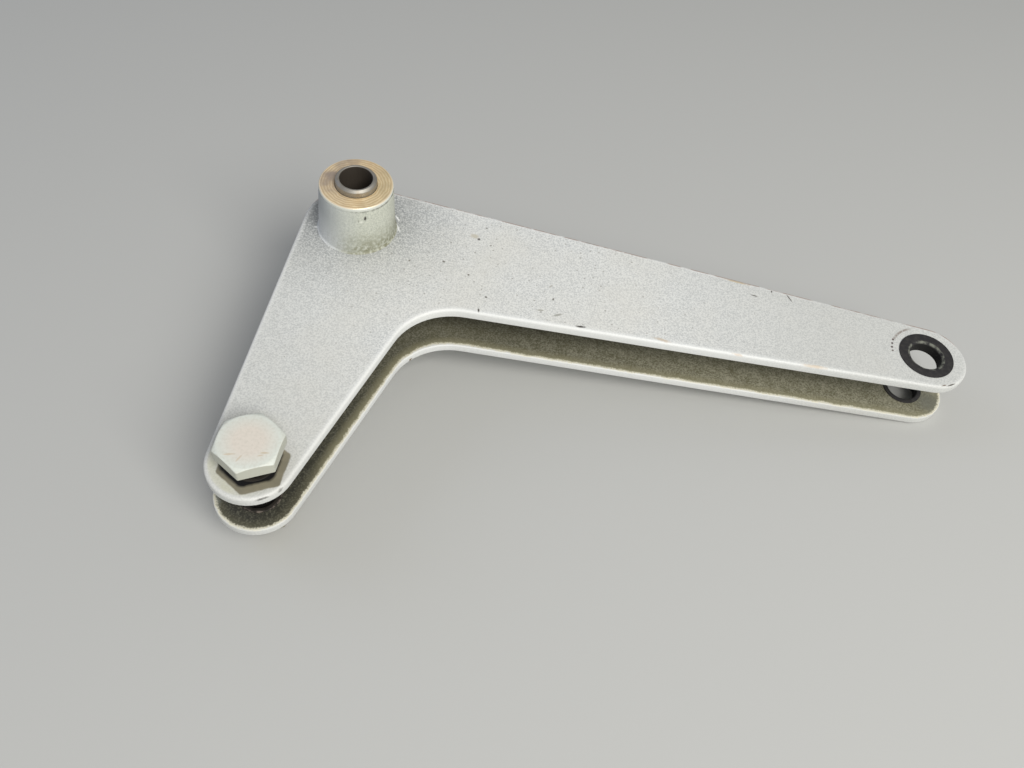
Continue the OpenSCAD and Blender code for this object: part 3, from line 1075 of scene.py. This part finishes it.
# Round the mouth: wear, and a painted highlight of the bore's edge.
layers = [("#3a3835", dusty), ("#0f0f0f", in_bore), ("#73756b", mouth_wear_and_highlight, at_top, torn)]
colour = layered(tree, linear("#1f1e20"), layers)
bump = add(tree, "Bump", {"Height": dust, "Strength": 0.4, "Distance": 0.03 * MM}).outputs[0]
plug_in(tree, surface, {"Base Color": colour, "Normal": bump})
surface.inputs["Roughness"].default_value = 0.75
for name in ("upper_end_bushing", "lower_end_bushing"):
    pieces[name].data.materials.append(phosphate)
print("black phosphate layers:", len(layers))

# %% [markdown]
# The short arm's bushings are plain steel, browned by oil and never painted. A rod end has rubbed
# the lower one's rim in places, and that pale arc is also a painted highlight.

# %% Oil-browned steel
browned, tree, surface = new_material("oil_browned_steel")
place = add(tree, "TexCoord").outputs["Object"]
height = add(tree, "SeparateXYZ", {0: place}).outputs[2]
radius = from_axis(tree, place, BOLT_AT.x, BOLT_AT.y)
film = add(tree, "TexNoise", {"Vector": place, "Scale": per_mm(1.5), "Detail": 5.0}).outputs["Fac"]
cloudy = (film, 0.0, 1.0)
rim = (radius, 4.6 * MM, 4.85 * MM)
torn = (film, 0.46, 0.62, 0.0, 0.45)
lower = (height, -5.0 * MM, -5.2 * MM)
# The pale arc on the lower rim is rubbed metal and a painted highlight.
layers = [("#3d3933", cloudy), ("#a79a8f", rim, torn, lower)]
colour = layered(tree, linear("#23211e"), layers)
rough = add(tree, "MapRange", {"Value": film, "To Min": 0.45, "To Max": 0.7}).outputs[0]
bump = add(tree, "Bump", {"Height": film, "Strength": 0.3, "Distance": 0.03 * MM}).outputs[0]
plug_in(tree, surface, {"Base Color": colour, "Roughness": rough, "Normal": bump})
surface.inputs["Metallic"].default_value = 0.5
for name in ("upper_bolt_bushing", "lower_bolt_bushing"):
    pieces[name].data.materials.append(browned)
print("browned steel layers:", len(layers))

# %% [markdown]
# The bolt's head was painted in place with a cream enamel, pinkish in the middle and greyer
# towards the corners, with the fine texture of a brush and scuffs from spanners. Its side faces
# are painted darker and greener as shade. Below the washer face the paint stops, and the shank is
# oily bare steel, painted near black as the shade under the head.

# %% Bolt paint
PAINT_STOPS = (HEAD_LOW + 0.3) * MM
BARE_BELOW = (HEAD_LOW + 0.1) * MM

cream, tree, surface = new_material("brushed_cream_enamel")
place = add(tree, "TexCoord").outputs["Object"]
facing = add(tree, "TexCoord").outputs["Normal"]
height = add(tree, "SeparateXYZ", {0: place}).outputs[2]
upward = add(tree, "SeparateXYZ", {0: facing}).outputs[2]
radius = from_axis(tree, place, BOLT_AT.x, BOLT_AT.y)
cloud = add(tree, "TexNoise", {"Vector": place, "Scale": per_mm(4), "Detail": 4.0}).outputs["Fac"]
brush = add(tree, "TexNoise", {"Vector": place, "Scale": per_mm(0.6), "Detail": 3.0}).outputs["Fac"]
cloudy = (cloud, 0.0, 1.0)
scuffed = (brush, 0.6, 0.68, 0.0, 0.35)
in_patches = (cloud, 0.5, 0.62)
outer = (radius, 3 * MM, 6.2 * MM)
side_shade = (upward, 0.5, 0.2)
dusty = (brush, 0.58, 0.3, 0.0, 0.3)
bare_and_shaded_below = (height, PAINT_STOPS, BARE_BELOW)
bolt_marks = [
    (BOLT_AT.x / MM - 2.6, BOLT_AT.y / MM - 3.9, HEAD_TOP, 2.4, 0.5, 1.0, 20, "#c8bdab"),
    (BOLT_AT.x / MM - 0.4, BOLT_AT.y / MM - 4.3, HEAD_TOP, 2.0, 0.4, 1.0, 70, "#c9bfaf"),
    (BOLT_AT.x / MM + 4.0, BOLT_AT.y / MM - 1.8, HEAD_TOP, 1.8, 0.5, 1.0, 15, "#c4b9a5"),
    (BOLT_AT.x / MM + 3.4, BOLT_AT.y / MM - 2.6, HEAD_TOP, 1.4, 0.4, 1.0, 25, "#c8bdab"),
]
# The darker, greener side faces and the near-black shank are painted shade.
layers = [
    ("#dad3c9", cloudy),
    ("#b5a994", scuffed, in_patches),
    ("#d2d7d0", outer),
    ("#babcb0", side_shade),
    ("#b9b5a8", dusty),
]
layers += marked(tree, place, bolt_marks)
layers.append(("#0e0d0c", bare_and_shaded_below))
colour = layered(tree, linear("#d4cdc3"), layers)
metal = add(
    tree,
    "MapRange",
    {"Value": height, "From Min": PAINT_STOPS, "From Max": BARE_BELOW, "To Max": 0.4},
).outputs[0]
bump = add(tree, "Bump", {"Height": cloud, "Strength": 0.3, "Distance": 0.1 * MM}).outputs[0]
plug_in(tree, surface, {"Base Color": colour, "Metallic": metal, "Normal": bump})
surface.inputs["Roughness"].default_value = 0.48
pieces["clevis_bolt"].data.materials.append(cream)
print("bolt paint layers:", len(layers))

# %% [markdown]
# Washer and nut are cadmium plated: a pale, slightly yellow metal that dulls in patches. The
# locking ring is natural nylon, a translucent off-white that takes up dirt.

# %% Plated steel and nylon
plated, tree, surface = new_material("cadmium_plated_steel")
place = add(tree, "TexCoord").outputs["Object"]
dull = add(tree, "TexNoise", {"Vector": place, "Scale": per_mm(2), "Detail": 5.0}).outputs["Fac"]
dulled = (dull, 0.0, 1.0)
colour = layered(tree, linear("#a9a48c"), [("#c2bda2", dulled)])
rough = add(tree, "MapRange", {"Value": dull, "To Min": 0.3, "To Max": 0.55}).outputs[0]
plug_in(tree, surface, {"Base Color": colour, "Roughness": rough})
surface.inputs["Metallic"].default_value = 0.95
for name in ("bolt_washer", "lock_nut"):
    pieces[name].data.materials.append(plated)

nylon, tree, surface = new_material("natural_nylon")
place = add(tree, "TexCoord").outputs["Object"]
dirt = add(tree, "TexNoise", {"Vector": place, "Scale": per_mm(1), "Detail": 4.0}).outputs["Fac"]
dirty = (dirt, 0.5, 0.75)
plug_in(tree, surface, {"Base Color": layered(tree, linear("#d9d3bd"), [("#a99f85", dirty)])})
surface.inputs["Roughness"].default_value = 0.45
surface.inputs["IOR"].default_value = 1.53
pieces["nut_insert"].data.materials.append(nylon)
print("plating and nylon made")
